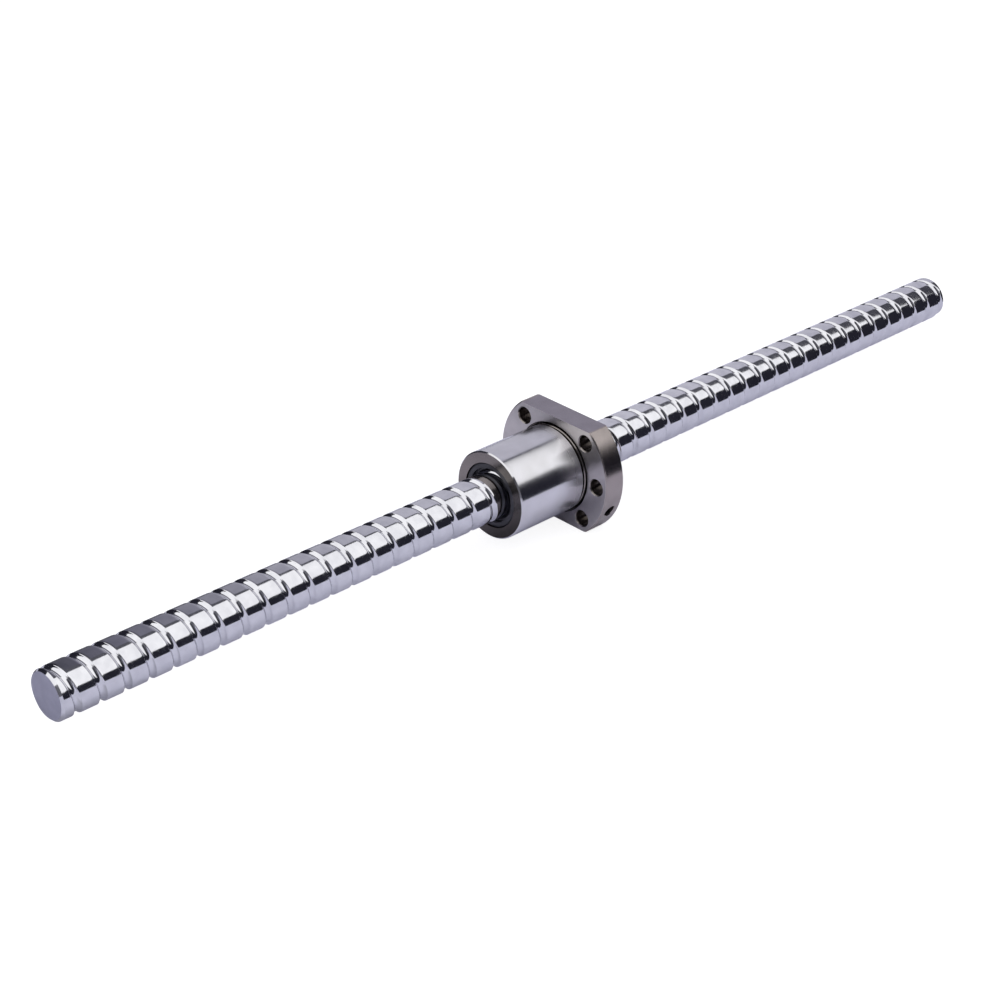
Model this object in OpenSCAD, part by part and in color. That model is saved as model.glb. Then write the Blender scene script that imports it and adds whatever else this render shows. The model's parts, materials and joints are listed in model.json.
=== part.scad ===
/* [Screw] */
// Outer diameter of the screw over its lands
screw_d = 19.2; // [19:0.1:19.4]
// Travel of the nut for one turn of the screw
lead = 10; // [9:0.5:12]
// Length of the screw
screw_len = 488.5; // [300:0.5:500]
// How far the screw reaches out in front of the nut's mounting face
screw_front = 237.5; // [150:0.5:240]
// Chamfer at both ends of the screw
screw_chamfer = 0.7; // [0.2:0.1:1]
// Angle about the axis where the ball track crosses the mounting face
track_phase = -115; // [-180:1:180]

/* [Balls] */
// Diameter of one ball
ball_d = 3.175; // [2.9:0.025:3.3]
// Diameter of the circle that the centres of the loaded balls follow
ball_circle_d = 20.3; // [20.2:0.05:20.6]
// Free space between a ball and the track
track_clear = 0.1; // [0.08:0.01:0.15]
// Least free space between neighbouring balls
ball_gap = 0.12; // [0.08:0.01:0.5]
// Turns of the loaded track between the two deflectors, in degrees
track_sweep = 980; // [960:1:1000]

/* [Nut body] */
// Diameter of the round body that fits the housing
body_d = 36; // [35.4:0.1:40]
// Length of the body in front of the flange
body_len = 35; // [34.5:0.5:40]
// Bore of the nut over the screw's lands
nut_bore_d = 20.6; // [20.5:0.05:20.8]
// Chamfer at the outer edges of the body and of the boss
body_chamfer = 0.5; // [0.2:0.1:1]
// Diameter of the boss behind the flange
boss_d = 35; // [35:0.1:38]
// Length of the boss behind the flange
boss_len = 7; // [6.5:0.5:10]
// Radius of the round undercut at the root of the flange
undercut_r = 1; // [0.7:0.1:1.2]
// How far the middle of the undercut lies in front of the flange
undercut_x = 0.65; // [0.4:0.05:0.8]
// How far the middle of the undercut lies outside the body
undercut_y = 0.2; // [0:0.05:0.4]

/* [Flange] */
// Outer diameter of the flange
flange_d = 58; // [56:0.5:66]
// Thickness of the flange
flange_t = 10; // [9:0.5:14]
// Distance between the two flats of the flange
flat_width = 44; // [42:0.5:48]
// Chamfer on the rims of the flange
flange_chamfer = 0.5; // [0.2:0.1:1]
// Diameter of the circle that carries the fixing holes
hole_circle_d = 47; // [46:0.5:48]
// Diameter of the fixing holes
hole_d = 6.6; // [5.5:0.1:7]
// Chamfer at both mouths of a fixing hole
hole_chamfer = 0.4; // [0.1:0.1:0.6]
// Angle between two fixing holes on one side
hole_step = 45; // [40:1:50]

/* [Oil port] */
// Core diameter of the tapped oil port
port_d = 5; // [3:0.1:5.5]
// Depth of the tapped oil port
port_depth = 9; // [5:0.5:10]
// Chamfer at the mouth of the oil port
port_chamfer = 0.4; // [0.1:0.1:0.6]
// Diameter of the oil passage that goes on to the bore
passage_d = 2.5; // [1:0.1:3]
// Angle of the oil port about the axis
port_angle = 202.5; // [200:0.5:205]

/* [End recesses] */
// Diameter of the recess at each end of the nut
recess_d = 26.8; // [26.6:0.1:27]
// Thickness of the plain nut wall that covers a deflector pocket at its end
lip_t = 1.6; // [1:0.1:2]
// Radial place of the return bore
return_r = 14.5; // [14.4:0.05:14.7]
// Free space around a ball in the return bore
return_clear = 0.15; // [0.1:0.01:0.2]

/* [Deflectors] */
// How far a deflector reaches in past the end of the loaded track
deflector_reach = 3.8; // [3.4:0.1:4.2]
// Length of a deflector along the axis
deflector_len = 10.5; // [10.2:0.1:10.8]
// Length of the part of a deflector that lies behind the recess floor
nose_len = 6.1; // [5.8:0.1:6.4]
// Plastic outside the return bore
deflector_wall = 1.9; // [1.7:0.1:2]
// Angle from the return bore to the end of the loaded track
turn_angle = 50; // [48:1:52]
// Angle of the deflector beyond the return bore
tail_angle = 9.5; // [9:0.5:12]
// Free space around a deflector in its pocket
seat_gap = 0.05; // [0.04:0.01:0.1]
// Free angle at both sides of a deflector in its pocket
seat_turn = 1; // [0.5:0.5:2]
// How far the inner side of a deflector stays back from the bore
deflector_rise = 0.2; // [0.1:0.05:0.3]
// How far the balls' way runs on straight as it leaves the loaded track
turn_reach = 6; // [5.8:0.1:6.2]
// How far the balls' way runs straight before the return bore
mouth_reach = 6; // [5.8:0.1:6.2]

/* [Tongues] */
// How far the tongues reach below the lands into the track
tongue_depth = 0.8; // [0.6:0.1:0.9]
// Width of a tongue where it reaches deepest
tongue_tip_w = 1.1; // [0.8:0.1:1.3]
// Width of a tongue at its root
tongue_root_w = 2.2; // [1.8:0.1:2.3]
// Angle from the pick-up tongue to the end of the loaded track
tongue_back = 18; // [16:1:22]

/* [Retaining rings] */
// Thickness of a retaining ring
ring_t = 1; // [0.8:0.1:1.2]
// Radial width of a retaining ring
ring_w = 1.5; // [1.3:0.1:1.7]
// How far a retaining ring reaches into its groove
ring_grip = 0.7; // [0.5:0.1:0.9]
// Opening between the ends of a retaining ring, in degrees
ring_opening = 30; // [20:1:60]
// Free space around a retaining ring in its groove
ring_gap = 0.1; // [0.06:0.01:0.2]

/* [Wipers] */
// How far a wiper lies behind the end face of the nut
wiper_inset = 0.4; // [0.2:0.1:1]
// Free space between a wiper's lip and the lands of the screw
lip_gap = 0.2; // [0.1:0.05:0.4]
// Diameter of the open mouth in front of a wiper's lips
mouth_d = 22.4; // [21.8:0.1:23]
// Depth of the open mouth in front of a wiper's lips
mouth_depth = 1.6; // [0.8:0.1:2]
// How far a wiper's snap bead stands out
bead_h = 0.4; // [0.2:0.1:0.5]
// Free space between a wiper and its recess
wiper_gap = 0.05; // [0.03:0.01:0.1]
// Depth of the valley between a wiper's two lips
lip_valley = 0.6; // [0.4:0.1:1]
// Chamfer on the edges of a wiper
wiper_chamfer = 0.5; // [0.2:0.1:0.6]

/* [Hidden] */
LOAD_GROUPS = 9;
LOAD_NODES = [for (i = [1:LOAD_GROUPS]) str("load_balls_", i)];

// Facets along one turn of the track and along the arc of its section, on round cuts and on a ball
turn_steps = 24;
groove_steps = 4;
fine = 96;
ball_steps = 48;
// Sides and steps of a deflector's channel, and steps that measure its length
channel_sides = 10;
channel_steps = 12;
way_fine = 60;
// Steps along the arc of the undercut
undercut_steps = 8;
// How far a cut runs past the faces that it opens, and how far a root sinks into its piece
over = 1;
root_sink = 0.3;
// How far the nut's track runs on past its loaded stretch, and the screw's track past its ends, in degrees
track_overrun = 3;
run_out = 432;

screw_r = screw_d / 2;
ball_r = ball_d / 2;
track_r = ball_circle_d / 2;
bore_r = nut_bore_d / 2;
recess_r = recess_d / 2;
deflector_r = return_r + deflector_wall;
ring_outer_r = recess_r + ring_grip;
helix_angle = atan(lead / (PI * ball_circle_d));
track_pitch_len = sqrt(pow(PI * ball_circle_d, 2) + pow(lead, 2));

// A chord lies inside its arc, so the corners stand out a little to keep the clearance
turn_factor = 1 / cos(180 / turn_steps);
groove_r = (ball_r + track_clear) / cos(acos((track_r - screw_r) / (ball_r + track_clear)) / groove_steps);
// Angle from the bottom of the track's section to its edge at the land
groove_edge = acos((track_r - screw_r) / groove_r);

// The nut's ball circuit is the same seen from either end: its middle lies half way between the faces
front_face = -body_len;
rear_face = flange_t + boss_len;
mid_x = (front_face + rear_face) / 2;
mid_angle = track_phase + 360 * mid_x / lead;
half_nut = (rear_face - front_face) / 2;
half_track = track_sweep / 2;
tip_angle = mid_angle - half_track;
return_angle = mid_angle + 180;
// The opening of a retaining ring lies a quarter turn away from the return bore
ring_mid = return_angle - 90;

// Distances from the middle of the nut towards either end
track_end = lead * half_track / 360;
deflector_in = track_end - deflector_reach;
recess_floor = deflector_in + nose_len;
deflector_out = deflector_in + deflector_len;
ring_in = deflector_out + ring_gap;
ring_out = ring_in + ring_t;
wiper_in = ring_out + ring_gap;
wiper_out = half_nut - wiper_inset;
wiper_bead = (wiper_in + wiper_out) / 2;
pocket_out = half_nut - lip_t;

// Turns the Z axis to lie along X, with angles counted from +Y towards +Z
module along_x() rotate([90, 0, 90]) children();

// Carries a piece drawn for the front end of the nut to the rear end
module to_rear()
    translate([mid_x, 0, 0]) rotate([mid_angle, 0, 0]) rotate([0, 180, 0]) rotate([-mid_angle, 0, 0])
        translate([-mid_x, 0, 0]) children();

// A point on the helix of the track: angle a, shifted s along the axis, at radius r
function on_helix(a, s, r) = [lead * (a - track_phase) / 360 + s, r * cos(a), r * sin(a)];
function unit(v) = v / norm(v);

// Solid through a list of rings of points, closed at both ends
module loft(rings) {
    n = len(rings[0]);
    m = len(rings);
    sides = [for (i = [0:m - 2], j = [0:n - 1]) let (k = (j + 1) % n)
        each [[i * n + j, (i + 1) * n + j, (i + 1) * n + k], [i * n + j, (i + 1) * n + k, i * n + k]]];
    caps = [[for (j = [0:n - 1]) j], [for (j = [n - 1:-1:0]) (m - 1) * n + j]];
    polyhedron([for (r = rings) each r], concat(sides, caps));
}

// Solid that follows the track from angle a0 to a1 with a section of [shift, radius] points
module helix_band(section, a0, a1) {
    steps = ceil((a1 - a0) * turn_steps / 360);
    loft([for (i = [0:steps]) let (a = a0 + (a1 - a0) * i / steps)
        [for (p = section) on_helix(a, p[0], p[1])]]);
}

// Section of the track in the screw, from one land to the next
screw_groove = [for (i = [0:groove_steps]) let (b = groove_edge * (2 * i / groove_steps - 1))
    [groove_r * sin(b) / cos(helix_angle), track_r - groove_r * cos(b)]];

// Screw surface as one skin: the track's points repeat each turn, and the lands join one turn to the next
module screw_skin(a0, a1) {
    p = len(screw_groove);
    n = ceil((a1 - a0) * turn_steps / 360);
    skin = [for (i = [0:n], q = screw_groove) on_helix(a0 + 360 * i / turn_steps, q[0], q[1])];
    first = n + 1 - turn_steps;
    ends = [[on_helix(a0 + 180, 0, 0)[0], 0, 0], [on_helix(a0 + 360 * n / turn_steps - 180, 0, 0)[0], 0, 0]];
    grooves = [for (i = [0:n - 1], j = [0:p - 2]) let (k = i * p + j)
        each [[k, k + p + 1, k + p], [k, k + 1, k + p + 1]]];
    lands = [for (i = [0:n - 1 - turn_steps]) let (k = i * p + p - 1, l = (i + turn_steps) * p)
        each [[k, l + p, k + p], [k, l, l + p]]];
    start = len(skin);
    front_cap = concat([for (i = [0:turn_steps - 1]) [start, i * p, (i + 1) * p]],
        [for (j = [0:p - 2]) [start, j + 1, j]], [[start, turn_steps * p, p - 1]]);
    rear_cap = concat([for (i = [first - 1:n - 1]) [start + 1, (i + 1) * p + p - 1, i * p + p - 1]],
        [for (j = [0:p - 2]) [start + 1, n * p + j, n * p + j + 1]],
        [[start + 1, (first - 1) * p + p - 1, n * p]]);
    polyhedron(concat(skin, ends), concat(grooves, lands, front_cap, rear_cap));
}

// Blank that trims the screw to length and chamfers its ends
module screw_blank() {
    wide = screw_r * turn_factor + over;
    cut = screw_r * turn_factor - screw_chamfer;
    corners = [for (i = [0:turn_steps - 1]) let (a = track_phase + 360 * (i + 0.5) / turn_steps)
        [cos(a), sin(a)]];
    function ring(x, r) = [for (c = corners) [x, r * c[0], r * c[1]]];
    slope = wide - cut;
    x0 = -screw_front;
    x1 = screw_len - screw_front;
    loft([ring(x0, cut), ring(x0 + slope, wide), ring(x1 - slope, wide), ring(x1, cut)]);
}

module screw_shaft() color("gainsboro") intersection() {
    screw_skin(track_phase - 360 * screw_front / lead - run_out,
        track_phase + 360 * (screw_len - screw_front) / lead + run_out);
    screw_blank();
}

// Round undercut in the body and the flange's face, so that the nut seats flat in a sharp-edged housing
undercut = let (a0 = 180 + asin(undercut_y / undercut_r), a1 = 360 + acos(undercut_x / undercut_r))
    [for (i = [0:undercut_steps]) let (a = a0 + (a1 - a0) * i / undercut_steps)
        [undercut_r * cos(a) - undercut_x, body_d / 2 + undercut_y + undercut_r * sin(a)]];

// Outline of the turned nut, as [place along the axis, radius] points
nut_outline = let (b = body_d / 2, f = flange_d / 2, s = boss_d / 2, c = body_chamfer, e = flange_chamfer,
        x0 = front_face, x1 = flange_t, x2 = rear_face)
    concat([[x0, 0], [x0, b - c], [x0 + c, b]], undercut, [[0, f - e], [e, f], [x1 - e, f], [x1, f - e],
        [x1, s], [x2 - c, s], [x2, s - c], [x2, 0]]);

module turned(outline) along_x() rotate_extrude($fn = fine) polygon([for (p = outline) [p[1], p[0]]]);

// Round cut along the axis from x0 to x1
module drill(x0, x1, r) translate([x0, 0, 0]) along_x() cylinder(h = x1 - x0, r = r, $fn = fine);

// Hole through the flange with a chamfer at both mouths
module fixing_hole(y, z) translate([0, y, z]) {
    drill(-over, flange_t + over, hole_d / 2);
    for (side = [0, 1]) translate([side * flange_t, 0, 0]) mirror([side, 0, 0])
        turned([[-over, 0], [-over, hole_d / 2 + hole_chamfer + over], [hole_chamfer, hole_d / 2],
            [hole_chamfer, 0]]);
}

module fixing_holes() for (side = [0, 180], i = [-1:1]) {
    a = side + i * hole_step;
    fixing_hole(hole_circle_d / 2 * cos(a), hole_circle_d / 2 * sin(a));
}

// Radial oil port in the flange's rim with a chamfered mouth, and the passage to the bore
module oil_port() translate([flange_t / 2, 0, 0]) rotate([port_angle, 0, 0]) rotate([-90, 0, 0]) {
    translate([0, 0, flange_d / 2 - port_depth]) cylinder(h = port_depth + over, d = port_d, $fn = fine);
    translate([0, 0, flange_d / 2 - port_chamfer])
        cylinder(h = port_chamfer + over, r1 = port_d / 2, r2 = port_d / 2 + port_chamfer + over, $fn = fine);
    translate([0, 0, bore_r - over]) cylinder(h = flange_d / 2 - bore_r, d = passage_d, $fn = fine);
}

// Part of a ring between two angles
module sector(x0, x1, r0, r1, a0, a1) along_x() translate([0, 0, x0])
    rotate_extrude(angle = a1 - a0, start = a0, $fn = fine) translate([r0, 0]) square([r1 - r0, x1 - x0]);

// Recess at the front end of the nut, with the deflector's pocket and the grooves of ring and wiper
module end_recess() {
    x = mid_x;
    drill(x - half_nut - over, x - recess_floor, recess_r);
    drill(x - ring_out - ring_gap / 2, x - ring_in + ring_gap / 2, ring_outer_r + ring_gap);
    sector(x - pocket_out, x - deflector_in + seat_gap, bore_r - over, deflector_r + seat_gap,
        return_angle - tail_angle - seat_turn, return_angle + turn_angle + seat_turn);
    groove = bead_h + wiper_gap;
    translate([x - wiper_bead, 0, 0])
        turned([[-groove, 0], [-groove, recess_r], [0, recess_r + groove], [groove, recess_r], [groove, 0]]);
}

// Loaded track in the nut, cut a little past both of its ends to meet the deflectors
module raceway() {
    section = [for (i = [0:groove_steps]) let (b = 90 - 180 * i / groove_steps)
        [groove_r * sin(b) / cos(helix_angle), (track_r + groove_r * cos(b)) * turn_factor]];
    helix_band(section, tip_angle - track_overrun, tip_angle + track_sweep + track_overrun);
}

module nut_body() color("lightslategray") difference() {
    turned(nut_outline);
    for (side = [-1, 1]) translate([flange_t / 2, 0, side * flat_width])
        cube([flange_t + over, flange_d + over, flat_width], center = true);
    fixing_holes();
    oil_port();
    drill(front_face - over, rear_face + over, bore_r);
    raceway();
    end_recess();
    to_rear() end_recess();
    translate([0, return_r * cos(return_angle), return_r * sin(return_angle)])
        drill(mid_x - deflector_in - over, rear_face + over, ball_r + return_clear);
}

// Way of the balls' centres through the front deflector, from the loaded track to the return bore
track_tip = on_helix(tip_angle, 0, track_r);
tip_way = [-sin(helix_angle), cos(helix_angle) * sin(tip_angle), -cos(helix_angle) * cos(tip_angle)];
bore_mouth = [mid_x - deflector_in, return_r * cos(return_angle), return_r * sin(return_angle)];
function turn_way(t) = pow(1 - t, 3) * track_tip + 3 * pow(1 - t, 2) * t * (track_tip + turn_reach * tip_way)
    + 3 * (1 - t) * t * t * (bore_mouth - [mouth_reach, 0, 0]) + t * t * t * bore_mouth;

// Ball channel of the front deflector as a tube around that way, open past both of its ends
module turn_channel() {
    r = (ball_r + return_clear) / cos(180 / channel_sides);
    ways = concat([track_tip - over * tip_way], [for (i = [0:channel_steps]) turn_way(i / channel_steps)],
        [bore_mouth + [over, 0, 0]]);
    last = len(ways) - 1;
    out = [0, cos(return_angle + turn_angle / 2), sin(return_angle + turn_angle / 2)];
    loft([for (i = [0:last])
        let (w = unit(ways[min(i + 1, last)] - ways[max(i - 1, 0)]), u = unit(cross(w, out)), v = cross(w, u))
        [for (j = [0:channel_sides - 1]) let (b = 360 * (j + 0.5) / channel_sides)
            ways[i] + r * (cos(b) * u + sin(b) * v)]]);
}

// Section of a tongue that runs in the screw's track, rooted at radius r
function tongue(r) = let (tip = tongue_tip_w / 2, root = tongue_root_w / 2)
    [[tip, screw_r - tongue_depth], [root, r], [-root, r], [-tip, screw_r - tongue_depth]];

// Deflector with the tongue that lifts the balls out of the track
module deflector() color("ivory") difference() {
    inner_r = bore_r + deflector_rise;
    union() {
        sector(mid_x - deflector_out, mid_x - deflector_in, inner_r, deflector_r,
            return_angle - tail_angle, return_angle + turn_angle);
        helix_band(tongue(inner_r + root_sink), tip_angle - turn_angle - tail_angle + seat_turn,
            tip_angle - tongue_back);
    }
    turn_channel();
}

module retaining_ring() color("dimgray")
    sector(mid_x - ring_out, mid_x - ring_in, ring_outer_r - ring_w, ring_outer_r,
        ring_mid + ring_opening / 2, ring_mid + 360 - ring_opening / 2);

// Wiper ring with a snap bead outside, and inside an open mouth, two lips and a tongue in the track
module wiper() color("slategray") {
    r0 = screw_r + lip_gap;
    r1 = recess_r - wiper_gap;
    rm = mouth_d / 2;
    x0 = mid_x - wiper_out;
    x1 = mid_x - wiper_in;
    xb = mid_x - wiper_bead;
    xm = x0 + mouth_depth;
    c = wiper_chamfer;
    turned([[x0, rm], [x0, r1 - c], [x0 + c, r1], [xb - bead_h, r1], [xb, r1 + bead_h], [xb + bead_h, r1],
        [x1, r1], [x1, r0 + c], [x1 - c, r0], [(xm + x1) / 2, r0 + lip_valley], [xm + c, r0], [xm, r0 + c],
        [xm, rm]]);
    reach = tongue_root_w / 2;
    intersection() {
        helix_band(tongue(r0 + lip_valley + root_sink), track_phase + 360 * (xm - reach) / lead,
            track_phase + 360 * (x1 + reach) / lead);
        drill(xm + c, x1 - c, r1 - c);
    }
}

module ball(p) translate(p) sphere(r = ball_r, $fn = ball_steps);

// Loaded balls at even steps along the track
track_len = track_pitch_len * track_sweep / 360;
load_count = floor(track_len / (ball_d + ball_gap));
module load_balls(group) color("whitesmoke")
    for (i = [0:load_count - 1]) if (floor(i * LOAD_GROUPS / load_count) == group - 1)
        ball(on_helix(tip_angle + track_sweep * (i + 0.5) / load_count, 0, track_r));

// Balls in the return bore
return_len = 2 * deflector_in;
return_count = floor(return_len / (ball_d + ball_gap));
module return_balls() color("whitesmoke") for (i = [0:return_count - 1])
    ball([mid_x - deflector_in + return_len * (i + 0.5) / return_count, bore_mouth[1], bore_mouth[2]]);

// Balls in a deflector, at even steps along the way through it
function way_sum(n) = n == 0 ? 0
    : way_sum(n - 1) + norm(turn_way(n / way_fine) - turn_way((n - 1) / way_fine));
way_table = [for (i = [0:way_fine]) [way_sum(i), i / way_fine]];
way_len = way_sum(way_fine);
turn_count = floor(way_len / (ball_d + ball_gap));
module turn_balls() color("whitesmoke") for (i = [0:turn_count - 1])
    ball(turn_way(lookup(way_len * (i + 0.5) / turn_count, way_table)));

screw_shaft();
nut_body();
deflector();  // front_deflector
to_rear() deflector();  // rear_deflector
retaining_ring();  // front_retaining_ring
to_rear() retaining_ring();  // rear_retaining_ring
wiper();  // front_wiper
to_rear() wiper();  // rear_wiper
return_balls();
turn_balls();  // front_turn_balls
to_rear() turn_balls();  // rear_turn_balls
for (i = [1:LOAD_GROUPS]) load_balls(i);
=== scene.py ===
# %% [markdown]
# # A ball screw with its flanged nut
# A ball screw turns rotation into travel. Hardened balls run between a helical track in the screw and
# the same track in the nut, and a channel inside the nut leads them back to where they started.
# This lesson dresses the exact model of such a part: the model gives every size and place, and the
# cells below give the surfaces, the light and the camera. Only the screw is drawn again, more finely.

# %% Load the exact model
import json
from math import asin, atan, atan2, cos, pi, radians, sin, sqrt

import bmesh
import bpy
import numpy as np
from mathutils import Matrix, Vector


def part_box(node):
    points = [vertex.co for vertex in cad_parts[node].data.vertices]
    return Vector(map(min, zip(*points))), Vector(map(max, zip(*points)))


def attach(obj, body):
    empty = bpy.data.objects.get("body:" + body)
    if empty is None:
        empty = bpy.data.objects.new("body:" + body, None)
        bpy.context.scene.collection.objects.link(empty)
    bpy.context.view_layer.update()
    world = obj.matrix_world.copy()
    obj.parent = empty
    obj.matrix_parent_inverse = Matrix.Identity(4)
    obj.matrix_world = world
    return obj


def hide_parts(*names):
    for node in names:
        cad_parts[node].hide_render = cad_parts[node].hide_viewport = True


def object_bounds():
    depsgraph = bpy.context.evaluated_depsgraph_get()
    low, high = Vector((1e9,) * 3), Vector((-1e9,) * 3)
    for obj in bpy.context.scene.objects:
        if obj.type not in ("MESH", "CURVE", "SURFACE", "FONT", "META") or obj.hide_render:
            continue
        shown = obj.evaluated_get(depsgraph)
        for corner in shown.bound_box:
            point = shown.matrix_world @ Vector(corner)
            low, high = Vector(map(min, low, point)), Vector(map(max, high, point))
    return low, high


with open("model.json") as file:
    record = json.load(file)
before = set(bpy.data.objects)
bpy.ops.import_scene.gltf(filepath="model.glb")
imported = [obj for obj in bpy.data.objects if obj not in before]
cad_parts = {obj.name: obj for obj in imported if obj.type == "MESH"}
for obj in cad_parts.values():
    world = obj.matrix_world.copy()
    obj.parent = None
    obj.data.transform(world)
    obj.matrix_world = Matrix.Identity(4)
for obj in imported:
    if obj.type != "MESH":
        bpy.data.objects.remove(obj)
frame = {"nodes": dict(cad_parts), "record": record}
cad_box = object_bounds()
nodes = frame["nodes"]
MM = 0.001

# %% [markdown]
# ## Sizes
# A dress that measures its model still fits when the model changes. So whatever a box or a joint can
# tell is read from there: where the screw lies, how long it is, and its lead, which is the travel for
# one turn. A box can't show the form of a thread. The radius of the lands, the circle that the balls
# follow, the arc that they run in and its place about the axis are therefore written here, and so are
# the soft shoulders of the track and the chamfer at the screw's ends.

# %% Sizes of the screw and its track
screw_low, screw_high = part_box("screw_shaft")
joints = {j["name"]: j for j in frame["record"]["behaviour"]["joints"]}
travel = joints["screw_travel"]["range_m"]
turned = joints["screw_turn"]["range_deg"]
LEAD = (travel[1] - travel[0]) / (turned[1] - turned[0]) * 360
LAND_R = 9.6 * MM
TRACK_R = 10.15 * MM
ARC_R = 1.66 * MM
TRACK_PHASE = radians(-115)
SHOULDER = 0.36 * MM
END_CHAMFER = 0.9 * MM
print("lead %.2f mm, screw %.1f mm long" % (LEAD / MM, (screw_high.x - screw_low.x) / MM))

# %% [markdown]
# ## Colours
# A colour picker shows colours as sRGB hex values, which are spaced for the eye. A renderer adds up
# light, and needs linear values. One function turns the first into the second, so that every colour
# below can be written the way it looks.

# %% From hex colours to linear values


def linear(hex_colour):
    parts = [int(hex_colour[i:i + 2], 16) / 255 for i in (1, 3, 5)]
    return [c / 12.92 if c <= 0.04045 else ((c + 0.055) / 1.055) ** 2.4 for c in parts] + [1.0]


print("middle grey is", round(linear("#808080")[0], 3), "of white")

# %% [markdown]
# ## Nodes
# A material could be put together by hand in the node editor, but a script can be read and repeated.
# One function adds a node with its settings and its links, so each material below reads as a list.
# Sockets go by name, or by number where a node has several of one name: a Math node takes its two
# values at 0 and 1, and a Mix node takes numbers at 2 and 3 and colours at 6 and 7. A colour ramp
# gets its stops too, each as a place and a hex colour.

# %% One function for every node


def add(tree, kind, sockets=None, stops=(), **settings):
    """Adds a node. A socket takes a value, an output, or a node, of which it takes the output in use."""
    made = tree.nodes.new(kind)
    for name, value in settings.items():
        setattr(made, name, value)
    for socket, value in (sockets or {}).items():
        if isinstance(value, bpy.types.Node):
            value = next(output for output in value.outputs if output.enabled)
        if isinstance(value, bpy.types.NodeSocket):
            tree.links.new(value, made.inputs[socket])
        else:
            made.inputs[socket].default_value = value
    band = made.color_ramp.elements if stops else []
    while len(band) < len(stops):
        band.new(0.5)
    for element, (place, colour) in zip(band, stops):
        element.position = place
        element.color = linear(colour)
    return made


def new_material(name):
    material = bpy.data.materials.new(name)
    material.use_nodes = True
    material.node_tree.nodes.clear()
    return material, material.node_tree


def finish_material(tree, shader):
    add(tree, "ShaderNodeOutputMaterial", {"Surface": shader})


print("materials so far:", len(bpy.data.materials))

# %% [markdown]
# ## The camera
# The photograph was taken from the front end of the screw, a little from above. A camera can be turned
# by eye until the picture fits, but a long thread shows every error. So the camera stands where a fit
# of the thread, the outlines and the flange holes puts it. The lens is given by its focal length in
# pixels, because that is what such a fit finds.

# %% Place the camera
PHOTO_HIGH_PX = 989
FOCAL_PX = 2131.86
EYE = Vector((-542.03, -512.63, 398.76)) * MM
AZIMUTH, ELEVATION, ROLL = radians(-44.806), radians(28.918), radians(1.293)
SENSOR_HIGH = 36


def show(thing):
    bpy.context.scene.collection.objects.link(thing)
    return thing


lens = bpy.data.cameras.new("photo_lens")
lens.sensor_fit = "VERTICAL"
lens.sensor_height = SENSOR_HIGH
lens.lens = FOCAL_PX * SENSOR_HIGH / PHOTO_HIGH_PX
lens.clip_start, lens.clip_end = 0.01, 50
camera = show(bpy.data.objects.new("photo_camera", lens))
turn = Matrix.Rotation(AZIMUTH, 4, "Z") @ Matrix.Rotation(pi / 2 - ELEVATION, 4, "X")
camera.matrix_world = Matrix.Translation(EYE) @ turn @ Matrix.Rotation(ROLL, 4, "Z")
bpy.context.scene.camera = camera
bpy.context.scene.view_settings.view_transform = "Standard"
print("lens %.1f mm" % lens.lens)

# %% [markdown]
# ## The studio
# Polished steel has hardly any colour of its own: it shows the room. A picture of a studio could be
# wrapped around the part, but here the room is built from plain pieces, and the lands of the screw
# mirror each of them as a band, as they do in the photograph. A large soft light hangs in front and
# above, a pale table lies below and ends a hand's width in front of the part, a grey cove closes the
# back, and the rest is dark. A card is one rectangle, and a glow is a surface that shines evenly.

# %% Flat pieces of the studio


def card(name, corners, material):
    mesh = bpy.data.meshes.new(name)
    mesh.from_pydata([tuple(c) for c in corners], [], [(0, 1, 2, 3)])
    made = show(bpy.data.objects.new(name, mesh))
    made.data.materials.append(material)
    return made


def glow(name, colour, strength):
    material, tree = new_material(name)
    finish_material(tree, add(tree, "ShaderNodeEmission", {"Color": linear(colour), "Strength": strength}))
    return material


FLOOR_Z = cad_box[0][2] - 0.2 * MM
print("floor at %.1f mm" % (FLOOR_Z / MM))

# %% [markdown]
# ## The table
# The table is a plain matt board. Its front edge runs at a slant to the screw, and everything past that
# edge is dark in the lands, down to the lower rim of the light. Behind the screw's near end the board is
# painted grey with a soft edge, painted shade that the lands there mirror, and it is pale again past
# the end, which the end face shows. A colour ramp along one direction gives all of this to a single
# rectangle, where a board of several pieces would show its joints.

# %% Matt table board
TABLE_EDGE = (-0.097, -0.226), (0.302, -0.07)
TABLE_DEEP, TABLE_LONG = 3.0, 2.0
# Painted shade: the board is painted darker behind the screw's near end, and pale again past it.
DIM_WAY, DIM_FROM, DIM_TO = (-1.0, 1.5, 0.0), 0.17, 0.31
PALE_FROM, PALE_TO = -0.243, -0.251
TABLE_TONE_AND_PAINTED_SHADE = [(0.0, "#ECECFC"), (0.25, "#D2D2E1"), (0.55, "#B2B2BF"), (0.75, "#84848E"),
                (1.0, "#68686F")]


def table_board():
    material, tree = new_material("matt table board")
    spot = add(tree, "ShaderNodeTexCoord").outputs["Object"]
    corner = add(tree, "ShaderNodeVectorMath", {0: spot, 1: DIM_WAY}, operation="DOT_PRODUCT")
    dim = add(tree, "ShaderNodeMapRange", {"Value": corner, "From Min": DIM_FROM, "From Max": DIM_TO})
    x = add(tree, "ShaderNodeSeparateXYZ", {"Vector": spot}).outputs["X"]
    beside = add(tree, "ShaderNodeMapRange", {"Value": x, "From Min": PALE_FROM, "From Max": PALE_TO,
                                              "To Min": 1.0, "To Max": 0.0})
    dim = add(tree, "ShaderNodeMath", {0: dim, 1: beside}, operation="MULTIPLY")
    # The ramp holds the board's own pale tone and the painted shade behind the screw's near end.
    shade = add(tree, "ShaderNodeValToRGB", {"Fac": dim}, TABLE_TONE_AND_PAINTED_SHADE)
    finish_material(tree, add(tree, "ShaderNodeBsdfDiffuse", {"Color": shade}))
    return material


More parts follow.
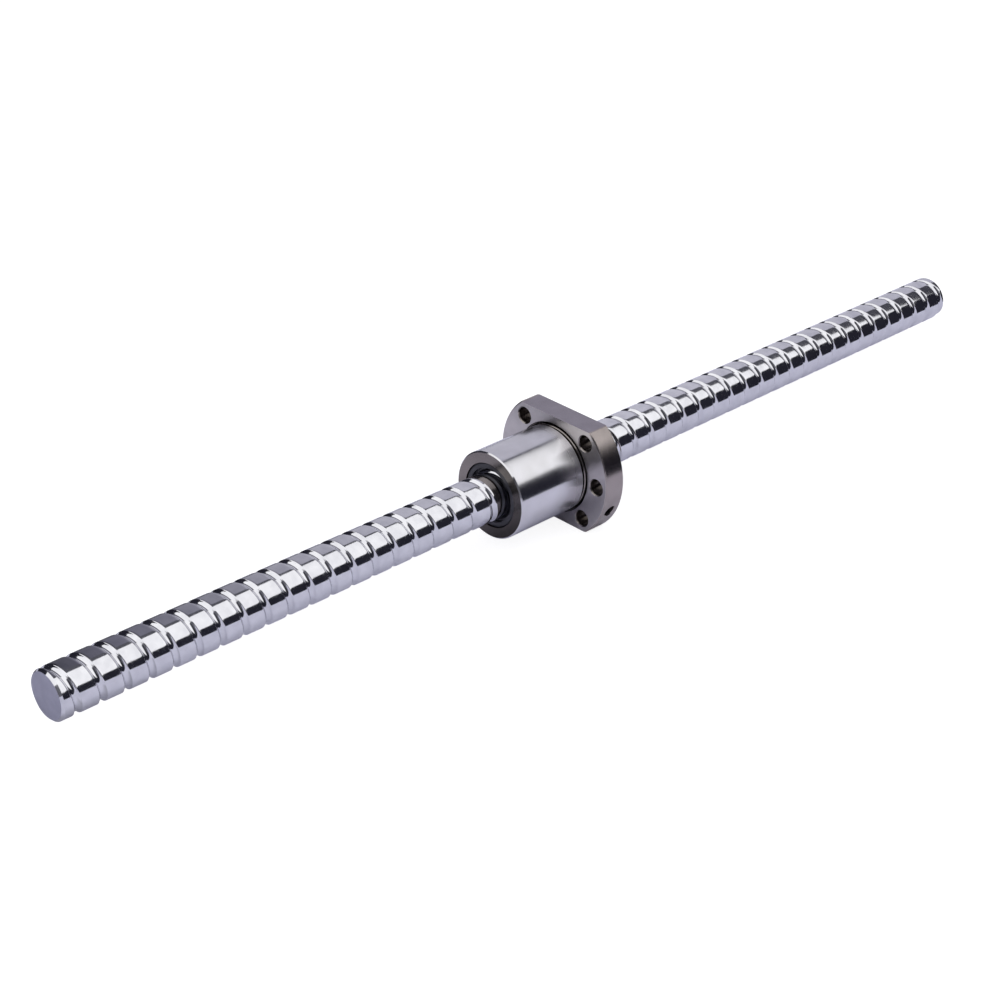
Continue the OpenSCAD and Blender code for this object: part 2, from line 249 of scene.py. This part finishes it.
left, right = (Vector((x, y, FLOOR_Z)) for x, y in TABLE_EDGE)
along = (right - left).normalized()
back = Vector((-along.y, along.x, 0)) * TABLE_DEEP
left, right = left - along * TABLE_LONG, right + along * TABLE_LONG
table = card("table", [left, right, right + back, left + back], table_board())
table.visible_camera = False
print("table %.1f m long" % (right - left).length)

# %% [markdown]
# ## The white sweep
# A product is often photographed on a sweep, a sheet of white paper that bends up behind it with no
# corner. Only the camera sees this one: it is flat, and a white room closes it behind. It shines by
# itself, so that it stays white, and a little matt paint on top keeps a faint shadow of the part. Near
# the part it shines a little less, because a shadow would be lost on paper that is whiter than white.

# %% White paper sweep
SWEEP, SWEEP_Z = 6.0, FLOOR_Z + 0.05 * MM
SHINE_FROM, SHINE_TO, SHINE_LEAST = 0.5, 1.5, 0.88


def sweep_paper():
    material, tree = new_material("white paper sweep")
    spot = add(tree, "ShaderNodeTexCoord").outputs["Object"]
    away = add(tree, "ShaderNodeVectorMath", {0: spot}, operation="LENGTH")
    power = add(tree, "ShaderNodeMapRange", {"Value": away, "From Min": SHINE_FROM, "From Max": SHINE_TO,
                                             "To Min": SHINE_LEAST, "To Max": 1.0})
    shine = add(tree, "ShaderNodeEmission", {"Color": linear("#FFFFFF"), "Strength": power})
    paint = add(tree, "ShaderNodeBsdfDiffuse", {"Color": linear("#A0A0A4")})
    finish_material(tree, add(tree, "ShaderNodeAddShader", {0: shine, 1: paint}))
    return material


sweep = card("sweep", [(-SWEEP, -SWEEP, SWEEP_Z), (SWEEP, -SWEEP, SWEEP_Z), (SWEEP, SWEEP, SWEEP_Z),
                       (-SWEEP, SWEEP, SWEEP_Z)], sweep_paper())
sweep.visible_glossy = sweep.visible_diffuse = sweep.visible_shadow = False
print("sweep %.0f m wide" % (2 * SWEEP))

# %% [markdown]
# ## The soft light
# A softbox is a lamp behind a big white cloth. An area lamp could stand for it, but a shining card is
# placed by its corners, and those are what the lands show: its four edges are the edges of the white
# patch that runs along them, low and wide in front of the screw's near end, and slipping away towards
# its far end.

# %% Softbox
LIGHT_AT = Vector((0.810, -0.931, 1.3185))
LIGHT_WIDE, LIGHT_HIGH = 2.576, 1.969
LIGHT_WIDE_WAY = Vector((-0.885, -0.369, -0.284))
LIGHT_HIGH_WAY = Vector((-0.458, 0.801, 0.386))
LIGHT_WHITE = 1.14

wide, high = LIGHT_WIDE_WAY * LIGHT_WIDE / 2, LIGHT_HIGH_WAY * LIGHT_HIGH / 2
cloth = glow("softbox cloth", "#FFFFFF", LIGHT_WHITE)
softbox = card("softbox", [LIGHT_AT - wide - high, LIGHT_AT + wide - high, LIGHT_AT + wide + high,
                           LIGHT_AT - wide + high], cloth)
softbox.visible_camera = False
print("soft light %.1f by %.1f m" % (LIGHT_WIDE, LIGHT_HIGH))

# %% [markdown]
# ## The fill
# One lamp more hangs overhead and lifts the table and the plastics. A lamp can be hidden from what
# mirrors it, so the steel shows the softbox alone.

# %% Fill lamp
FILL_AT, FILL_WIDE, FILL_POWER = (0, -0.2, 1.6), 1.5, 6.0
lamp = bpy.data.lights.new("fill", "AREA")
lamp.size, lamp.energy = FILL_WIDE, FILL_POWER
fill = show(bpy.data.objects.new("fill", lamp))
fill.location = FILL_AT
fill.visible_glossy = False
print("fill lamp %.0f W" % FILL_POWER)

# %% [markdown]
# ## Ceiling and grey wall
# The lands can't show what is on the near side of the room, but the grooves, chamfers and faces can:
# the wall of a groove that looks towards the camera mirrors the ceiling there. The two white lines in
# each groove and the white chamfer at the screw's end say that it is a long pale lane, which runs
# away past the near end almost to the horizon. To one side of it stands a grey wall. Two cards do for
# both, because only their edges show.

# %% Bright ceiling and grey wall on the near side
CEILING_Z, CEILING_X, CEILING_Y = 1.3, (-10, 0.1), (-0.83, 1.62)
WALL_X, WALL_Y = -2.5, (-2.8, -0.35)

ceiling = card("ceiling", [(CEILING_X[i], CEILING_Y[j], CEILING_Z)
                           for i, j in ((0, 0), (1, 0), (1, 1), (0, 1))], cloth)
near_wall = card("near_wall", [(WALL_X, WALL_Y[0], FLOOR_Z), (WALL_X, WALL_Y[1], FLOOR_Z),
                               (WALL_X, WALL_Y[1], CEILING_Z), (WALL_X, WALL_Y[0], CEILING_Z)],
                 glow("grey wall", "#6C6C72", 1.0))
ceiling.visible_camera = near_wall.visible_camera = False
print("ceiling %.1f m high" % CEILING_Z)

# %% [markdown]
# ## The cove
# A cove closes the room at the back. It is a glow, and its painted light is dim towards the near end of
# the screw and lighter towards the far end: the lands mirror it above the white patch, where they turn
# from dark grey to lavender along the screw. They hardly change across it. A flat wall would change, so
# the cove is bent around the screw's own axis, from strips that lie side by side.

# %% Cove behind the screw
COVE_R, COVE_X = 0.6, (0.04, 1.6)
COVE_FOOT, COVE_TOP = asin(FLOOR_Z / COVE_R), radians(76)
COVE_STRIPS = 24
COVE_PAINTED_LIGHT = [(0.04, "#4A4A52"), (0.1, "#737280"), (0.18, "#95949F"), (0.27, "#B6B5C0"),
               (0.36, "#C4C3CE"), (0.57, "#D0CFDA"), (0.87, "#C4C3CF")]


def cove_glow():
    material, tree = new_material("grey cove")
    spot = add(tree, "ShaderNodeTexCoord").outputs["Object"]
    x = add(tree, "ShaderNodeSeparateXYZ", {"Vector": spot}).outputs["X"]
    # Painted light: the cove glows dimmer towards the near end of the screw and brighter towards the far end.
    shade = add(tree, "ShaderNodeValToRGB", {"Fac": x}, COVE_PAINTED_LIGHT)
    finish_material(tree, add(tree, "ShaderNodeEmission", {"Color": shade, "Strength": 1.0}))
    return material


leans = [COVE_FOOT + (COVE_TOP - COVE_FOOT) * i / COVE_STRIPS for i in range(COVE_STRIPS + 1)]
bent = bpy.data.meshes.new("cove")
bent.from_pydata([(x, COVE_R * cos(t), COVE_R * sin(t)) for t in leans for x in COVE_X], [],
                 [(2 * i, 2 * i + 1, 2 * i + 3, 2 * i + 2) for i in range(COVE_STRIPS)])
bent.materials.append(cove_glow())
cove = show(bpy.data.objects.new("cove", bent))
cove.visible_camera = False
print("cove strips:", len(bent.polygons))

# %% [markdown]
# ## The rest of the room
# The rest of the room is dark at eye level and a little lighter overhead, as rooms are. It could be
# more cards, but nothing in it has an edge that shows, so the world gives it. For the camera's own
# rays the world is white, as the photograph's ground is.

# %% World
ROOM_SHADES = [(0.5, "#26262F"), (0.72, "#5C5C63")]
world = bpy.data.worlds.new("dark room")
world.use_nodes = True
tree = world.node_tree
tree.nodes.clear()
way = add(tree, "ShaderNodeTexCoord").outputs["Generated"]
rise = add(tree, "ShaderNodeSeparateXYZ", {"Vector": way}).outputs["Z"]
dark = add(tree, "ShaderNodeValToRGB", {"Fac": rise}, ROOM_SHADES)
by_camera = add(tree, "ShaderNodeLightPath").outputs["Is Camera Ray"]
seen = add(tree, "ShaderNodeMix", {0: by_camera, 6: dark, 7: linear("#FFFFFF")}, data_type="RGBA")
room = add(tree, "ShaderNodeBackground", {"Color": seen, "Strength": 1.0})
add(tree, "ShaderNodeOutputWorld", {"Surface": room})
bpy.context.scene.world = world
print("world nodes:", len(tree.nodes))

# %% [markdown]
# ## The screw's form
# A rolled screw has round lands and a track that a ball fits into, with softly rolled shoulders between
# them. The exact model has flat facets here, which a mirror would show, so the same helix is drawn again
# finely. The start is one section, cut square to the track: the arc of the track, a small fillet at the
# shoulder, and the land. Only one half is worked out, because the other is its mirror image. The land is
# straight, so it needs one short step beside the shoulder, which ends the shoulder's bend, and one long
# step to its middle.

# %% Profile of one lead
HELIX = atan(LEAD / (2 * pi * TRACK_R))
ARC_STEPS, SHOULDER_STEPS = 7, 4
LAND_SHARES = (0.25, 1.0)


def half_profile():
    """Points (distance along the axis from the track's middle, radius), from the middle to the land."""
    drop = TRACK_R - LAND_R + SHOULDER
    centre = sqrt((ARC_R + SHOULDER) ** 2 - drop ** 2)
    lean = atan2(centre, drop)
    arc = [(ARC_R * sin(lean * i / ARC_STEPS), TRACK_R - ARC_R * cos(lean * i / ARC_STEPS))
           for i in range(ARC_STEPS + 1)]
    fillet = [(centre - SHOULDER * sin(lean * (1 - i / SHOULDER_STEPS)),
               LAND_R - SHOULDER + SHOULDER * cos(lean * (1 - i / SHOULDER_STEPS)))
              for i in range(1, SHOULDER_STEPS + 1)]
    land = [(centre + (LEAD / 2 * cos(HELIX) - centre) * share, LAND_R) for share in LAND_SHARES]
    return [(s / cos(HELIX), r) for s, r in arc + fillet + land]


half = half_profile()
profile = np.array([(-s, r) for s, r in half[:0:-1]] + half[:-1])
print("points in one lead:", len(profile), "track opening %.2f mm" % (
    2 * half[ARC_STEPS + SHOULDER_STEPS][0] / MM))

# %% [markdown]
# ## The screw's skin
# A Screw modifier could sweep the section, but it leaves each turn open beside the next. Here every
# column of points is the section, shifted along the axis by the helix, and the last point of one turn
# is joined to the first point of the next, so that the whole screw is one skin with no seam. It starts
# before the screw's one end and stops past the other, to be cut to length afterwards.

# %% Skin of the screw
COLUMNS = 76
SPARE_TURNS = 1.6


def helix_skin(name, x_from, x_to):
    """The screw's surface from a little before x_from to a little past x_to, still open at both ends."""
    points = len(profile)
    first = int((x_from / LEAD - SPARE_TURNS) * COLUMNS)
    last = int((x_to / LEAD + SPARE_TURNS) * COLUMNS)
    column, point = np.meshgrid(np.arange(first, last + 1), np.arange(points), indexing="ij")
    angle = TRACK_PHASE + 2 * pi * column / COLUMNS
    x = LEAD * column / COLUMNS + profile[point, 0]
    radius = profile[point, 1]
    corners = np.stack([x, radius * np.cos(angle), radius * np.sin(angle)], -1).reshape(-1, 3)
    strips = last - first
    low = (np.arange(strips)[:, None] * points + np.arange(points - 1)[None]).ravel()
    within = np.stack([low, low + 1, low + points + 1, low + points], -1)
    end = np.arange(1, strips - COLUMNS + 1) * points - 1
    next_turn = end + 1 + (COLUMNS - 1) * points
    between = np.stack([end, next_turn, next_turn + points, end + points], -1)
    mesh = bpy.data.meshes.new(name)
    mesh.from_pydata(corners.tolist(), [], np.concatenate([within, between]).tolist())
    mesh.validate()
    return mesh


skin = helix_skin("screw", screw_low.x, screw_high.x)
print("columns of points:", len(skin.vertices) // len(profile))

# %% [markdown]
# ## The screw's ends
# The bar is sawn to length, faced, and chamfered on a lathe, so that no sharp edge is left. A Boolean
# cut could do it, but it is slow on so many faces. A plane cuts the skin at each end and at the root of
# each chamfer. Then every point outside the chamfer's cone is drawn in to the cone, as the tool would
# turn it, and one flat face closes each end.

# %% Ends of the screw
CUT_CLEAR, RIM_CLEAR = 0.0001 * MM, 0.001 * MM
SHARP_DEGREES = 30


def cut_to_length(mesh, x_from, x_to, chamfer):
    """Trims the skin, turns the chamfers and closes both ends with flat faces."""
    shape = bmesh.new()
    shape.from_mesh(mesh)
    for place, way, trims in [(x_from, -1, True), (x_to, 1, True), (x_from + chamfer, -1, False),
                              (x_to - chamfer, 1, False)]:
        geometry = shape.verts[:] + shape.edges[:] + shape.faces[:]
        bmesh.ops.bisect_plane(shape, geom=geometry, dist=CUT_CLEAR, plane_co=(place, 0, 0),
                               plane_no=(way, 0, 0), clear_outer=trims)
    for v in shape.verts:
        inside = min(v.co.x - x_from, x_to - v.co.x)
        radius = sqrt(v.co.y ** 2 + v.co.z ** 2)
        cone = LAND_R - chamfer + inside
        if inside < chamfer - CUT_CLEAR and radius > cone:
            v.co.y *= cone / radius
            v.co.z *= cone / radius
    for place in (x_from, x_to):
        rim = [e for e in shape.edges
               if e.is_boundary and all(abs(v.co.x - place) < RIM_CLEAR for v in e.verts)]
        bmesh.ops.contextual_create(shape, geom=rim)
    bmesh.ops.recalc_face_normals(shape, faces=shape.faces[:])
    shape.to_mesh(mesh)
    shape.free()


cut_to_length(skin, screw_low.x, screw_high.x, END_CHAMFER)
skin.polygons.foreach_set("use_smooth", [True] * len(skin.polygons))
skin.set_sharp_from_angle(angle=radians(SHARP_DEGREES))
print("screw triangles:", sum(len(f.vertices) - 2 for f in skin.polygons))

# %% [markdown]
# ## The screw on its body
# The fine screw takes the place of the exact one, which stays hidden for the collisions. It rides on
# the same body, so that it turns and travels as the exact one does.

# %% Put the screw on its body
screw = show(bpy.data.objects.new("screw", skin))
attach(screw, "screw")
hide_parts("screw_shaft")
print("screw from %.1f to %.1f mm" % (screw_low.x / MM, screw_high.x / MM))

# %% [markdown]
# ## Marks round the axis
# Rolling, grinding and turning all leave marks that run round the axis. A picture of such marks would
# have to be wrapped around each piece and would show its edges. Noise needs no wrapping: its
# coordinates are stretched, so that it changes fast along the axis and slowly across it.

# %% Stretched coordinates
ACROSS = 0.04


def stretched(tree, size):
    """Coordinates for marks that run round the axis: fine along X and slow in the other two."""
    spot = add(tree, "ShaderNodeTexCoord").outputs["Object"]
    scale = (1 / size, ACROSS / size, ACROSS / size)
    return add(tree, "ShaderNodeMapping", {"Vector": spot, "Scale": scale})


def dress(piece, material):
    piece.data.materials.clear()
    piece.data.materials.append(material)
    print(piece.name, "wears", material.name)


print("marks are %.0f times as long as they are wide" % (1 / ACROSS))

# %% [markdown]
# ## Steel of the screw
# Rolled bearing steel, hardened and polished. It gives the eye a clean mirror with a faint veil of
# scratches that run round the bar: most of the surface is sharp, and a few thin lines are dull and
# catch the light. A slow waviness, left by the rolls, bends the edges of what it mirrors. The real
# scratches are a few hundredths of a millimetre apart, and they are drawn coarser so that they show.
# Both ends are sawn and faced, so they are duller and a little darker than the bar. One material with a
# mask for the ends does this, so that the screw can stay one piece.

# %% Rolled bearing steel
ROLL_MARK, ROLL_MARK_HIGH = 0.22 * MM, 0.0006 * MM
WAVE, WAVE_HIGH = 5 * MM, 0.008 * MM
MIRROR_ROUGH, SCRATCH_ROUGH, SAWN_ROUGH = 0.07, 0.17, 0.46
SCRATCH_FROM, SCRATCH_TO = 0.48, 0.7
SAWN_DEEP = 0.01 * MM
BAR_TINT = [(0.35, "#D9D9DF"), (0.65, "#E4E4E9")]
SAWN_TINT = [(0.35, "#A9A9B8"), (0.65, "#B1B1C0")]


def rolled_steel():
    material, tree = new_material("rolled bearing steel")
    spot = add(tree, "ShaderNodeTexCoord").outputs["Object"]
    x = add(tree, "ShaderNodeSeparateXYZ", {"Vector": spot}).outputs["X"]
    middle, half_long = (screw_low.x + screw_high.x) / 2, (screw_high.x - screw_low.x) / 2
    aside = add(tree, "ShaderNodeMath", {0: x, 1: middle}, operation="SUBTRACT")
    aside = add(tree, "ShaderNodeMath", {0: aside}, operation="ABSOLUTE")
    sawn = add(tree, "ShaderNodeMath", {0: aside, 1: half_long - SAWN_DEEP}, operation="GREATER_THAN")
    marks = add(tree, "ShaderNodeTexNoise", {"Vector": stretched(tree, ROLL_MARK), "Scale": 1.0,
                                             "Detail": 3.0})
    wave = add(tree, "ShaderNodeTexNoise", {"Vector": spot, "Scale": 1 / WAVE, "Detail": 2.0})
    rough = add(tree, "ShaderNodeMapRange", {"Value": marks, "From Min": SCRATCH_FROM, "From Max": SCRATCH_TO,
                                             "To Min": MIRROR_ROUGH, "To Max": SCRATCH_ROUGH})
    rough = add(tree, "ShaderNodeMix", {0: sawn, 2: rough, 3: SAWN_ROUGH}, data_type="FLOAT")
    bar_tint = add(tree, "ShaderNodeValToRGB", {"Fac": wave}, BAR_TINT)
    sawn_tint = add(tree, "ShaderNodeValToRGB", {"Fac": wave}, SAWN_TINT)
    tint = add(tree, "ShaderNodeMix", {0: sawn, 6: bar_tint, 7: sawn_tint}, data_type="RGBA")
    slow = add(tree, "ShaderNodeBump", {"Strength": 1.0, "Distance": WAVE_HIGH, "Height": wave})
    fine = add(tree, "ShaderNodeBump", {"Strength": 1.0, "Distance": ROLL_MARK_HIGH, "Height": marks,
                                        "Normal": slow})
    finish_material(tree, add(tree, "ShaderNodeBsdfPrincipled", {
        "Base Color": tint, "Metallic": 1.0, "Roughness": rough, "Normal": fine}))
    return material


dress(screw, rolled_steel())

# %% [markdown]
# ## Zones of the nut
# The nut is one piece of bearing steel that was worked in several ways, and each way shows. The round
# body and the flange's face that seats it are ground, so they are pale. The flange's rim and the front
# end are only turned, and keep the brown-grey of hardening. The bore, the recesses and the drilled holes
# are painted dark as painted shade, and the undercut at the body's root and its floor by the flange are
# painted nearly black as painted shade in the groove. Painting each face by hand would break when the
# model changes, so a zone is a list of tests instead: of the place along the axis, of the radius, and of
# how squarely a face looks along X or Z. Each zone has a darker and a lighter tint in front of its tests,
# and a later zone covers an earlier one.

# %% Zones of the nut
BODY_R, RIM_R, BORE_R = 18 * MM, 28.5 * MM, 13 * MM
ROOT_X, SEAT_X = -1.63 * MM, 0.05 * MM
OUTSIDE_R, RECESS_R, GROOVE_R = BODY_R - 0.5 * MM, BODY_R - 1.5 * MM, BODY_R - 1.4 * MM
HOLES_R, HOLES_X = (BODY_R + 1 * MM, RIM_R - 1 * MM), -0.05 * MM
GROOVE_X, FLOOR_X, FLOOR_R = -0.1 * MM, (0.08 * MM, 0.4 * MM), (17.8 * MM, 18.45 * MM)
ABOVE, BELOW = "GREATER_THAN", "LESS_THAN"
SIDEWAYS, STEEP, ON_FLATS = 0.9, 0.5, 0.99
NUT_ZONES = {
    "flats": ("#98929A", "#A29CA4", [("face_z", ABOVE, ON_FLATS)]),
    "rim": ("#A19896", "#AEA5A3", [("radius", ABOVE, RIM_R)]),
    "seat": ("#BEB9B9", "#CAC5C5", [
        ("radius", ABOVE, OUTSIDE_R), ("x", ABOVE, ROOT_X), ("x", BELOW, SEAT_X)]),
    "body": ("#D8D7DB", "#E0DFE4", [
        ("radius", ABOVE, OUTSIDE_R), ("x", BELOW, ROOT_X), ("face_x", BELOW, SIDEWAYS)]),
    # Painted shade: the bore, the recesses and the holes are tinted dark where shade falls inside them.
    "bore": ("#4C4744", "#57524F", [("radius", BELOW, BORE_R)]),
    "recesses": ("#4C4744", "#57524F", [("radius", BELOW, RECESS_R), ("face_x", BELOW, SIDEWAYS)]),
    "holes": ("#5E5753", "#6A635E", [
        ("radius", ABOVE, HOLES_R[0]), ("radius", BELOW, HOLES_R[1]), ("x", ABOVE, HOLES_X),
        ("face_x", BELOW, STEEP), ("face_z", BELOW, ON_FLATS)]),
    # Painted shade: the undercut and its floor by the flange are tinted nearly black, as shade in the groove.
    "undercut": ("#181615", "#201E1D", [
        ("radius", ABOVE, GROOVE_R), ("x", ABOVE, ROOT_X), ("x", BELOW, GROOVE_X)]),
    "undercut floor": ("#181615", "#201E1D", [
        ("radius", ABOVE, FLOOR_R[0]), ("radius", BELOW, FLOOR_R[1]), ("x", ABOVE, FLOOR_X[0]),
        ("x", BELOW, FLOOR_X[1])]),
}


def zone_mask(tree, measured, tests):
    """A mask that is 1 where all the tests of a zone hold."""
    mask = 1.0
    for what, way, limit in tests:
        held = add(tree, "ShaderNodeMath", {0: measured[what], 1: limit}, operation=way)
        mask = add(tree, "ShaderNodeMath", {0: mask, 1: held}, operation="MULTIPLY")
    return mask


print("zones:", ", ".join(NUT_ZONES))

# %% [markdown]
# ## Tints of the nut
# A turned face is brown-grey all over, but the front end is painted darker towards its lower near side,
# where it mirrors less of the light: a ramp of painted shade across it. The zones lie over that, each
# with a darker and a lighter tint. One flat colour for each would look like paint, so clouds of noise, a
# few millimetres wide, move each zone from one of its tints to the other.

# %% Tints of the nut
CLOUD = 7 * MM
FRONT_X, FRONT_WAY, FRONT_FROM, FRONT_TO = -33 * MM, (0.0, -0.6, -0.8), -12 * MM, 16 * MM
FRONT_PAINTED_SHADE = [(0.0, "#908986"), (0.25, "#6B6663"), (0.8, "#625D5B"), (1.0, "#4C4846")]


def nut_tint(tree, spot, measured, masks):
    """The front end's painted shade, and over it the two tints of each zone in soft clouds."""
    lean = add(tree, "ShaderNodeVectorMath", {0: spot, 1: FRONT_WAY}, operation="DOT_PRODUCT")
    lean = add(tree, "ShaderNodeMapRange", {"Value": lean, "From Min": FRONT_FROM, "From Max": FRONT_TO})
    front = add(tree, "ShaderNodeMath", {0: measured["x"], 1: FRONT_X}, operation=BELOW)
    lean = add(tree, "ShaderNodeMath", {0: lean, 1: front}, operation="MULTIPLY")
    # Painted shade: the front end is tinted darker towards its lower near side.
    tint = add(tree, "ShaderNodeValToRGB", {"Fac": lean}, FRONT_PAINTED_SHADE)
    cloud = add(tree, "ShaderNodeTexNoise", {"Vector": spot, "Scale": 1 / CLOUD, "Detail": 3.0})
    for zone, (dark, light, tests) in NUT_ZONES.items():
        clouded = add(tree, "ShaderNodeValToRGB", {"Fac": cloud}, [(0.3, dark), (0.7, light)])
        tint = add(tree, "ShaderNodeMix", {0: masks[zone], 6: tint, 7: clouded}, data_type="RGBA")
    return tint


print("shades of the front end:", len(FRONT_PAINTED_SHADE))

# %% [markdown]
# ## Dullness of the nut
# A ground face is a soft mirror, and a turned one is duller. The grinding wheel runs out towards the
# flange, so the body gets duller on its last stretch. Roughness says how dull a face is: 0 is a mirror,
# and 1 is chalk. The marks of the wheel and of the turning tool move it a little.

# %% Dullness of the nut
TURNED_ROUGH, GROUND_ROUGH = (0.2, 0.26), (0.15, 0.17)
RUN_OUT_FROM, RUN_OUT_TO, RUN_OUT_ROUGH = -15 * MM, -4 * MM, 0.12


def nut_roughness(tree, marks, measured, masks):
    """Turned steel all over, and ground steel on the body and the seat."""
    turned, ground = (add(tree, "ShaderNodeMapRange", {"Value": marks, "To Min": least, "To Max": most})
                      for least, most in (TURNED_ROUGH, GROUND_ROUGH))
    run_out = add(tree, "ShaderNodeMapRange", {"Value": measured["x"], "From Min": RUN_OUT_FROM,
                                               "From Max": RUN_OUT_TO, "To Max": RUN_OUT_ROUGH})
    ground = add(tree, "ShaderNodeMath", {0: ground, 1: run_out}, operation="ADD")
    wheel = add(tree, "ShaderNodeMath", {0: masks["body"], 1: masks["seat"]}, operation="MAXIMUM")
    return add(tree, "ShaderNodeMix", {0: wheel, 2: turned, 3: ground}, data_type="FLOAT")


print("roughness of ground steel:", GROUND_ROUGH, "and of turned steel:", TURNED_ROUGH)

# %% [markdown]
# ## Steel of the nut
# The wheel and the tool leave fine marks that run round the axis, and such marks smear what the steel
# mirrors across them. Marks drawn one by one would have to be finer than the render shows, so the
# shader smears the highlight itself: that is called anisotropic. A tangent taken round the X axis says
# which way the marks run. The marks that can be seen are drawn a quarter of a millimetre apart, coarser
# than the real ones.

# %% Ground and turned steel
GRIND_MARK, GRIND_MARK_HIGH = 0.25 * MM, 0.001 * MM
SMEAR, SMEAR_TURN = 0.9, 0.25


def nut_steel():
    material, tree = new_material("ground and turned bearing steel")
    looks = add(tree, "ShaderNodeTexCoord")
    spot = looks.outputs["Object"]
    place = add(tree, "ShaderNodeSeparateXYZ", {"Vector": spot})
    facing = add(tree, "ShaderNodeSeparateXYZ", {"Vector": looks.outputs["Normal"]})
    flat = add(tree, "ShaderNodeCombineXYZ", {"Y": place.outputs["Y"], "Z": place.outputs["Z"]})
    measured = {"x": place.outputs["X"],
                "radius": add(tree, "ShaderNodeVectorMath", {0: flat}, operation="LENGTH"),
                "face_x": add(tree, "ShaderNodeMath", {0: facing.outputs["X"]}, operation="ABSOLUTE"),
                "face_z": add(tree, "ShaderNodeMath", {0: facing.outputs["Z"]}, operation="ABSOLUTE")}
    masks = {zone: zone_mask(tree, measured, tests) for zone, (dark, light, tests) in NUT_ZONES.items()}
    marks = add(tree, "ShaderNodeTexNoise", {"Vector": stretched(tree, GRIND_MARK), "Scale": 1.0,
                                             "Detail": 2.0})
    bump = add(tree, "ShaderNodeBump", {"Strength": 1.0, "Distance": GRIND_MARK_HIGH, "Height": marks})
    around = add(tree, "ShaderNodeTangent", direction_type="RADIAL", axis="X")
    finish_material(tree, add(tree, "ShaderNodeBsdfPrincipled", {
        "Base Color": nut_tint(tree, spot, measured, masks), "Metallic": 1.0,
        "Roughness": nut_roughness(tree, marks, measured, masks), "Anisotropic": SMEAR,
        "Anisotropic Rotation": SMEAR_TURN, "Tangent": around, "Normal": bump}))
    return material


dress(nodes["nut_body"], nut_steel())

# %% [markdown]
# ## Plastics
# The wipers are black polyamide, and the deflectors natural acetal: both are moulded, slide well and
# need no oil. A moulded surface has the fine, soft grain of its mould, a few tenths of a millimetre
# wide, which breaks up the highlight. Noise at that scale moves the tint, the roughness and the bump
# together, as one real grain would.

# %% Moulded plastics
PLASTIC_IOR = 1.53
GRAIN_HIGH = 0.01 * MM


def plastic(name, dark, light, rough_from, rough_to, grain_size):
    material, tree = new_material(name)
    spot = add(tree, "ShaderNodeTexCoord").outputs["Object"]
    grain = add(tree, "ShaderNodeTexNoise", {"Vector": spot, "Scale": 1 / grain_size, "Detail": 3.0})
    tint = add(tree, "ShaderNodeValToRGB", {"Fac": grain}, [(0.3, dark), (0.7, light)])
    rough = add(tree, "ShaderNodeMapRange", {"Value": grain, "To Min": rough_from, "To Max": rough_to})
    bump = add(tree, "ShaderNodeBump", {"Strength": 0.4, "Distance": GRAIN_HIGH, "Height": grain})
    finish_material(tree, add(tree, "ShaderNodeBsdfPrincipled", {
        "Base Color": tint, "Roughness": rough, "IOR": PLASTIC_IOR, "Normal": bump}))
    return material


polyamide = plastic("moulded black polyamide", "#2C2C34", "#35353E", 0.3, 0.45, 0.3 * MM)
acetal = plastic("moulded natural acetal", "#DDD8C8", "#E6E2D4", 0.35, 0.5, 0.4 * MM)
print("plastics:", polyamide.name, "and", acetal.name)

# %% [markdown]
# ## Spring steel and balls
# The retaining rings are blued spring steel, and the balls are lapped bearing steel, the brightest
# mirror of all. Hardly any of them shows from outside, but a section or a pulled-apart view would.
# Both are one recipe with other values: marks round the axis that move the tint and the roughness.

# %% Spring steel and ball steel


def plain_steel(name, dark, light, rough_from, rough_to, mark):
    material, tree = new_material(name)
    marks = add(tree, "ShaderNodeTexNoise", {"Vector": stretched(tree, mark), "Scale": 1.0,
                                             "Detail": 2.0})
    tint = add(tree, "ShaderNodeValToRGB", {"Fac": marks}, [(0.3, dark), (0.7, light)])
    rough = add(tree, "ShaderNodeMapRange", {"Value": marks, "To Min": rough_from, "To Max": rough_to})
    finish_material(tree, add(tree, "ShaderNodeBsdfPrincipled", {
        "Base Color": tint, "Metallic": 1.0, "Roughness": rough}))
    return material


spring = plain_steel("blued spring steel", "#4A4B52", "#5A5B61", 0.25, 0.4, 0.2 * MM)
ball_steel = plain_steel("lapped ball steel", "#E2E2E6", "#EAEAEE", 0.03, 0.06, 0.5 * MM)
for word, material in (("wiper", polyamide), ("deflector", acetal), ("ring", spring),
                       ("balls", ball_steel)):
    for name in sorted(nodes):
        if word in name:
            dress(nodes[name], material)

# %% [markdown]
# ## Close
# The number of materials in the scene is printed.

# %% Finish
print("materials in all:", len(bpy.data.materials))
